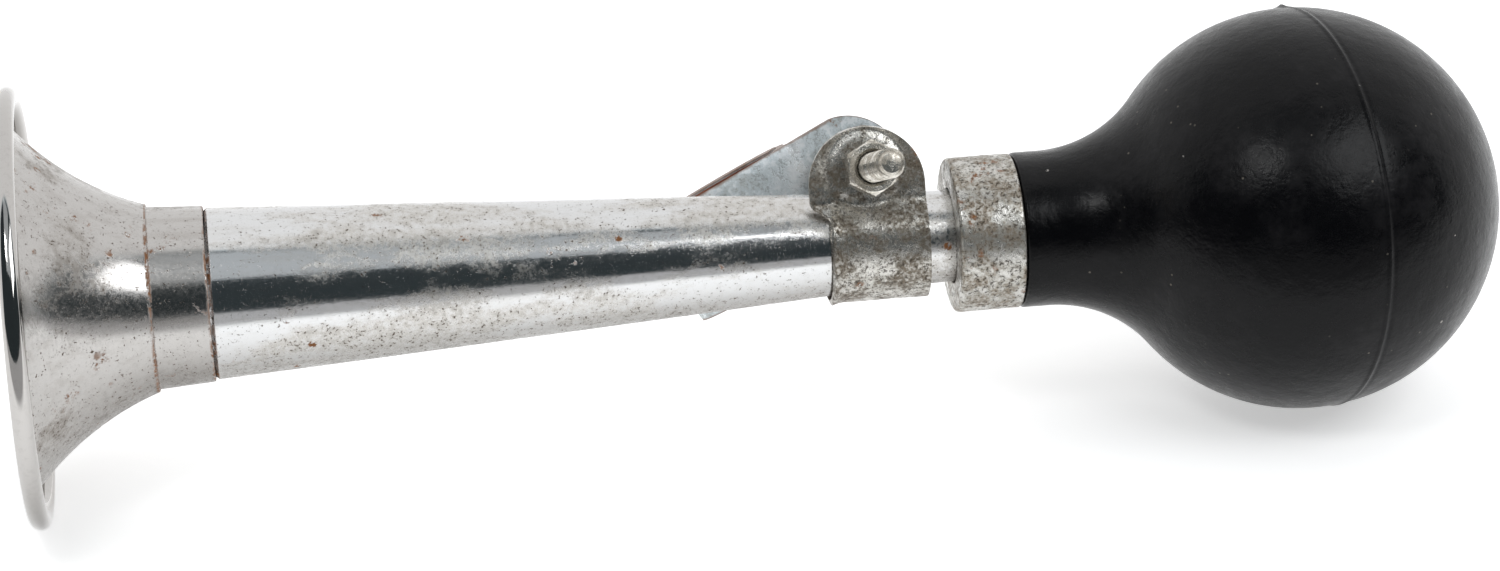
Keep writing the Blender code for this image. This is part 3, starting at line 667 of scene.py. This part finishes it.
def make_clip(material):
    """A U round the tube. Its near ear leans in at the root, and its far ear is smaller."""
    thickness = 1.0 * MM
    ear = 8.0 * MM
    band = 9.0 * MM
    drop = math.degrees(math.asin(ear / band))
    turn = np.cos(np.radians(np.linspace(0, 90, 44)))
    sides = []
    for centre, radius, _ in (NEAR_EAR, FAR_EAR):
        side = [(centre + radius * c, ear) for c in turn]
        side += line(side[-1], (band * math.cos(math.radians(drop)), ear), 0.4 * MM)[1:]
        sides.append(side)
    near, far = sides
    path = softened(near + arc((0, 0), band, drop, 360 - drop, 110) + [(x, -y) for x, y in far[::-1]], 6)
    heights = path[:, 0]
    band_high = span("tube_clip", CLAMP)[1]
    band_low = band_high - 16.8 * MM
    widened = np.clip((heights - 3.2 * MM) / (3.6 * MM), 0, 1)
    widened = widened * widened * (3 - 2 * widened)
    low = band_low + (-NEAR_EAR[1] - band_low) * widened
    high = band_high + (NEAR_EAR[1] - band_high) * widened
    near_edges = rounded_ends(heights, *NEAR_EAR[:2], low, high, NEAR_EAR[2])
    far_low = low + (FAR_EAR[2] - FAR_EAR[1] - low) * widened
    far_high = high + (FAR_EAR[2] + FAR_EAR[1] - high) * widened
    far_edges = rounded_ends(heights, *FAR_EAR[:2], far_low, far_high, FAR_EAR[2])
    on_far = np.arange(len(path)) > len(path) // 2
    low = np.where(on_far, far_edges[0], near_edges[0])
    high = np.where(on_far, far_edges[1], near_edges[1])

    def worked(x, y, z):
        """The root pressed in towards the ears' gap, a turned lip, and hand-bent unevenness."""
        near_side = y > 0
        across = math.hypot(x - BOLT_HEIGHT, z)
        pressed = math.exp(-((across - 6.3 * MM) / (0.9 * MM)) ** 2) * (x > 2 * MM)
        hollow = math.exp(-((x - 6.4 * MM) / (1.5 * MM)) ** 2)
        bulge = math.exp(-((x - 2.6 * MM) / (3.0 * MM)) ** 2)
        lip = min(1, max(0, band_low + 2.2 * MM - z) / (2.2 * MM)) ** 2 * (x < 6 * MM)
        rim = max(0, across - 6.9 * MM) / (2.5 * MM) * (x > 11 * MM)
        uneven = wobble((x * 90, y * 90, z * 90), 1.0, 0.16 * MM, 2.0)
        inward = 0.25 * MM * pressed + 0.45 * MM * hollow * near_side
        return inward - 0.30 * MM * bulge * near_side - 0.45 * MM * lip - 0.10 * MM * min(1, rim) + uneven

    clip = bent_sheet("clip", path, low, high, CLAMP, thickness, material, 48, worked)
    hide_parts("tube_clip")
    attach(clip, "clip")


STRAP_SHEET = 1.2 * MM
STRAP_HALF_WIDTH = 9.25 * MM
STRAP_CLEARANCE = 0.3 * MM  # between the strap and the washer on each side
LINER_SHEET = 0.6 * MM
LINER_HALF_WIDTH = 8.75 * MM


def strap_path(near_face, far_face):
    """The strap's middle line as (reach from the bolt, height along the bolt)."""
    centre = STRAP.inverted() @ Vector(LOOP_MOUNT["pos_m"])
    radius = near_face - centre.z - STRAP_SHEET / 2
    near = near_face - STRAP_SHEET / 2
    far = far_face + STRAP_SHEET / 2
    tip = 9.58 * MM
    angles = np.radians(np.linspace(0, 90, 36))
    ear = [(-tip * math.cos(a), near) for a in angles]
    line_to_loop = line((0, near), (centre.x, near), 0.4 * MM)[1:]
    ring = arc((centre.x, centre.z), radius, 90, -214, 170)
    fold = polyline([ring[-1], (7.6 * MM, far + 0.5 * MM), (6.4 * MM, far), (0, far)], 0.35 * MM)[1:]
    back_ear = [(-tip * math.cos(a), far) for a in angles[::-1]]
    return softened(ear + line_to_loop + ring + fold + back_ear[1:], 5)


def make_strap(material, liner_material):
    centre = STRAP.inverted() @ Vector(LOOP_MOUNT["pos_m"])
    washer_face = span("swivel_washer", BOLT)[0]
    bolt_washer_face = span("bolt_washer", BOLT)[1]
    near_face, far_face = washer_face - STRAP_CLEARANCE, bolt_washer_face + STRAP_CLEARANCE
    path = strap_path(near_face, far_face)
    low, high = rounded_ends(-path[:, 0], 0, 9.6 * MM, -STRAP_HALF_WIDTH, STRAP_HALF_WIDTH)
    on_edge = STRAP @ Matrix(((1, 0, 0, 0), (0, 0, -1, 0), (0, 1, 0, 0), (0, 0, 0, 1)))

    def worked(x, y, z):
        """Long edges slightly turned, and the unevenness of a strap bent round a bar."""
        turned_edge = max(0, abs(z) - 7.4 * MM) / (1.85 * MM)
        uneven = wobble((x * 70, y * 70, z * 70), 1.0, 0.16 * MM, 6.0)
        return uneven - 0.22 * MM * min(1, turned_edge) ** 2 * (x > 6 * MM)

    strap = bent_sheet("strap", path, low, high, on_edge, STRAP_SHEET, material, 40, worked)
    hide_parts("handlebar_strap")
    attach(strap, "strap")
    radius = near_face - centre.z - STRAP_SHEET
    ring = arc((centre.x, centre.z), radius - 0.5 * MM, 80, -190, 150)
    edge = np.full(len(ring), LINER_HALF_WIDTH)
    liner = bent_sheet("liner", ring, -edge, edge, on_edge, LINER_SHEET, liner_material, 12)
    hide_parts("strap_liner")
    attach(liner, "strap")


# Bolt, nut and washers

PITCH = 0.8 * MM
ACROSS_FLATS = 8.0 * MM
BOLT_LENGTH = 45.0 * MM
PLAIN_SHANK = 20 * MM
THREAD_OUTER = 2.4 * MM
THREAD_DEPTH = 0.42 * MM


def hexagon_radius(angle):
    return ACROSS_FLATS / 2 / math.cos((angle + math.pi / 6) % (math.pi / 3) - math.pi / 6)


def spun(name, rows, matrix, material, segments, closed=False, sharp=30):
    """A shape from rows of (radius as a function of the angle, station)."""
    vertices = []
    for radius, station in rows:
        for j in range(segments):
            angle = 2 * math.pi * j / segments
            r = radius(angle) if callable(radius) else radius
            vertices.append(matrix @ Vector((r * math.cos(angle), r * math.sin(angle), station)))
    faces = grid_faces(len(rows), segments, closed, True)
    return add_object(name, vertices, faces, material, sharp=sharp)


def hex_rows(low, high, chamfer_low, chamfer_high):
    """Rows up a hexagonal prism whose corners are turned down by a 30 degree chamfer."""
    rows = []
    flat = ACROSS_FLATS / 2 * 0.96
    slope = math.tan(math.radians(30))
    for station in np.linspace(low, high, 25):
        allowed = 1.0
        if chamfer_low:
            allowed = min(allowed, flat + (station - low) / slope)
        if chamfer_high:
            allowed = min(allowed, flat + (high - station) / slope)
        rows.append((lambda angle, limit=allowed: min(hexagon_radius(angle), limit), float(station)))
    return rows


def thread_radius(station):
    def radius(angle):
        phase = (station / PITCH - angle / (2 * math.pi)) % 1
        return THREAD_OUTER - THREAD_DEPTH * min(1, max(0, abs(2 * phase - 1) * 1.25 - 0.12))
    return radius


def make_bolt(material):
    low, high = span("clamp_bolt", BOLT)
    head_top = high - BOLT_LENGTH
    rows = [(0.0, low), (ACROSS_FLATS / 2 * 0.9, low)]
    rows += hex_rows(low + 0.05 * MM, head_top, True, False)
    rows.append((THREAD_OUTER, head_top))
    thread_start = head_top + PLAIN_SHANK
    rows += [(THREAD_OUTER, float(z)) for z in np.linspace(head_top + 0.1 * MM, thread_start, 12)]
    tip = high - 0.9 * MM
    for z in np.arange(thread_start, tip, PITCH / 10):
        rows.append((thread_radius(z), float(z)))
    for share in np.linspace(0, 1, 8):
        r = 2.0 * MM - 0.45 * MM * share
        z = tip + 0.75 * MM * share
        rows.append((lambda angle, r=r, z=z: min(r, thread_radius(z)(angle)), z))
    rows += [(1.0 * MM, high - 0.05 * MM), (0.0, high)]
    bolt = spun("bolt", rows, BOLT, material, 72)
    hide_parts("clamp_bolt")
    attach(bolt, "bolt")


def make_nut(material):
    low, high = span("clamp_nut", BOLT)
    bore = 2.62 * MM
    rows = hex_rows(low, high, True, True)
    rows += [(bore + 0.45 * MM, high), (bore, high - 0.5 * MM)]
    rows += [(bore, low + 0.5 * MM), (bore + 0.45 * MM, low)]
    nut = spun("nut", rows, BOLT, material, 96, closed=True)
    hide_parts("clamp_nut")
    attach(nut, "nut")


def make_washers(material):
    for node, body, teeth in (("swivel_washer", "clip", 12), ("bolt_washer", "bolt", 0)):
        low, high = span(node, BOLT)
        outer = reach(node, BOLT) * 0.995
        inner = 2.8 * MM
        edge = 0.15 * MM

        def toothed(angle, outer=outer, teeth=teeth):
            return outer - (0.45 * MM * (math.cos(teeth * angle) > 0.2) if teeth else 0)

        rows = [(inner, low), (lambda a: toothed(a) - edge, low), (toothed, low + edge)]
        rows += [(toothed, high - edge), (lambda a: toothed(a) - edge, high), (inner, high)]
        washer = spun(node + "_ring", rows, BOLT, material, 144, closed=True)
        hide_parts(node)
        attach(washer, body)


def dress_reed(material):
    for node in ("reed_holder", "reed_shallot", "reed_tongue", "reed_wedge"):
        mesh = frame["nodes"][node].data
        mesh.materials.clear()
        mesh.materials.append(material)


# Stage, lights and camera

ELEVATION = math.radians(27)
YAW = math.radians(6.28)
ROLL = math.radians(-2.38)
DISTANCE = 0.724
FOCAL_SHARE = 4463 / 1500
TARGET = Vector((-0.0024, 0, 0.0271))


def make_camera():
    outwards = Vector((-math.sin(YAW) * math.cos(ELEVATION), -math.cos(YAW) * math.cos(ELEVATION),
                       math.sin(ELEVATION)))
    right = (-outwards).cross(Vector((0, 0, 1))).normalized()
    up = right.cross(-outwards)
    rolled_right = math.cos(ROLL) * right + math.sin(ROLL) * up
    rolled_up = math.cos(ROLL) * up - math.sin(ROLL) * right
    matrix = Matrix((rolled_right, rolled_up, outwards)).transposed().to_4x4()
    matrix.translation = TARGET + DISTANCE * outwards
    data = bpy.data.cameras.new("camera")
    data.sensor_width = 36.0
    data.lens = data.sensor_width * FOCAL_SHARE
    data.clip_start = 0.01
    camera = bpy.data.objects.new("camera", data)
    camera.matrix_world = matrix
    bpy.context.scene.collection.objects.link(camera)
    bpy.context.scene.camera = camera


def area_light(name, place, target, size, power, colour=(1, 1, 1)):
    data = bpy.data.lights.new(name, "AREA")
    data.shape = "RECTANGLE"
    data.size, data.size_y = size
    data.energy = power
    data.color = colour
    light = bpy.data.objects.new(name, data)
    light.location = place
    light.rotation_euler = (Vector(target) - Vector(place)).to_track_quat("-Z", "Y").to_euler()
    bpy.context.scene.collection.objects.link(light)


def make_stage():
    """A white sweep. Only its shiny reflections in the metal fall off towards the camera."""
    bpy.ops.mesh.primitive_grid_add(size=6, x_subdivisions=8, y_subdivisions=8, location=(0, 0, -0.0003))
    floor = bpy.context.object
    floor.name = "floor"
    s = Surface("pale_floor")
    colour = s.mix(s.noise(0.05, 4, 0.5), (0.93, 0.93, 0.93), (0.95, 0.95, 0.95))
    split = s.tree.nodes.new("ShaderNodeSeparateXYZ")
    s.link(s.coordinates, split.inputs["Vector"])
    in_front = s.ramp(split.outputs["Y"], -0.10, -0.15)
    mirrored = s.tree.nodes.new("ShaderNodeLightPath").outputs["Is Glossy Ray"]
    colour = s.mix(s.math("MULTIPLY", in_front, mirrored), colour, (0.03, 0.03, 0.035))
    floor.data.materials.append(s.finish(colour, 0.95, s.bump(s.noise(0.004, 3), 0.0002, 0.2)))
    s.shader.inputs["Specular IOR Level"].default_value = 0.1
    s.shader.inputs["Emission Color"].default_value = (1, 1, 1, 1)
    s.shader.inputs["Emission Strength"].default_value = 0.50


WALL_LEVEL = 1.0
DARK_LEVEL = 0.05
DARK_EDGE = (-0.13, -0.03)  # Y of the directions between which dark turns to bright


def make_world():
    """A pale studio with a darker side, which the chrome shows as its dark band."""
    world = bpy.data.worlds.new("studio")
    bpy.context.scene.world = world
    world.use_nodes = True
    tree = world.node_tree
    background = tree.nodes["Background"]
    direction = tree.nodes.new("ShaderNodeTexCoord")
    split = tree.nodes.new("ShaderNodeSeparateXYZ")
    tree.links.new(direction.outputs["Generated"], split.inputs["Vector"])

    def ramp(socket, low, high):
        node = tree.nodes.new("ShaderNodeMapRange")
        node.interpolation_type = "SMOOTHSTEP"
        tree.links.new(socket, node.inputs["Value"])
        node.inputs["From Min"].default_value = low
        node.inputs["From Max"].default_value = high
        return node.outputs["Result"]

    def combine(operation, first, second):
        node = tree.nodes.new("ShaderNodeMath")
        node.operation = operation
        for value, socket in ((first, node.inputs[0]), (second, node.inputs[1])):
            if isinstance(value, bpy.types.NodeSocket):
                tree.links.new(value, socket)
            else:
                socket.default_value = value
        return node.outputs[0]

    bright = ramp(split.outputs["Y"], *DARK_EDGE)
    level = combine("ADD", combine("MULTIPLY", bright, WALL_LEVEL), DARK_LEVEL)
    path = tree.nodes.new("ShaderNodeLightPath")
    shown = combine("MAXIMUM", level, path.outputs["Is Camera Ray"])
    tree.links.new(shown, background.inputs["Strength"])
    tint = tree.nodes.new("ShaderNodeMix")
    tint.data_type = "RGBA"
    tint.inputs[6].default_value = (0.72, 0.92, 1.0, 1)
    tint.inputs[7].default_value = (1, 1, 1, 1)
    lit = combine("MAXIMUM", bright, path.outputs["Is Camera Ray"])
    tree.links.new(lit, tint.inputs["Factor"])
    tree.links.new(tint.outputs[2], background.inputs["Color"])
    bpy.context.scene.view_settings.view_transform = "Standard"


def make_lights():
    area_light("key_softbox", (0.34, -0.32, 0.48), (0.06, 0, 0.03), (0.38, 0.30), 1.30,
               (0.97, 0.985, 1.0))
    area_light("side_softbox", (-0.06, -0.24, 0.50), (-0.02, 0, 0.03), (0.36, 0.36), 0.22,
               (0.93, 0.97, 1.0))
    area_light("bell_softbox", (-0.20, -0.31, 0.52), (-0.04, 0, 0.03), (0.12, 0.12), 0.50)


def build():
    chrome_lines = ((SEAM_LINE, 0.28 * MM), (span("bell_flare", HORN)[1], 0.32 * MM))
    bell_chrome = plated("bell_chrome", (0.50, 0.485, 0.47), (0.32, 0.295, 0.27), 0.20, 0.36,
                         0.16, 0.03, 1.0, chrome_lines)
    tube_chrome = plated("tube_chrome", (0.68, 0.685, 0.69), (0.55, 0.53, 0.50), 0.12, 0.33,
                         0.20, -0.01, 0.8, ((span("bell_flare", HORN)[1] + 0.3 * MM, 0.3 * MM),))
    ferrule = tarnished("ferrule_zinc", (0.62, 0.61, 0.58), (0.40, 0.385, 0.345),
                        (0.25, 0.205, 0.155), 0.22, 0.42, 0.04, scale=0.62, wear=0.8)
    clip = tarnished("clip_zinc", (0.62, 0.605, 0.57), (0.33, 0.315, 0.28),
                     (0.16, 0.13, 0.095), 0.18, 0.34, 0.0, scale=0.62, wear=0.75)
    fasteners = tarnished("fastener_zinc", (0.76, 0.735, 0.68), (0.54, 0.51, 0.45),
                          (0.26, 0.215, 0.16), 0.14, 0.28, -0.03, scale=0.7, wear=0.2)
    strap = tarnished("strap_zinc", (0.92, 0.95, 0.97), (0.62, 0.70, 0.74),
                      (0.42, 0.42, 0.39), 0.26, 0.42, 0.0, edge_rust=0.7, scale=1.8, metal=0.45, wear=0.35)
    make_bell(bell_chrome, fasteners)
    make_tube(tube_chrome)
    make_ferrule(ferrule, fibre("washer_fibre", (0.06, 0.06, 0.06), (0.12, 0.12, 0.115)))
    make_bulb(black_rubber())
    make_clip(clip)
    make_strap(strap, fibre("liner_fibre", (0.13, 0.035, 0.015), (0.22, 0.07, 0.03)))
    make_bolt(fasteners)
    make_nut(fasteners)
    make_washers(fasteners)
    dress_reed(brass())
    make_stage()
    make_world()
    make_lights()
    make_camera()


build()
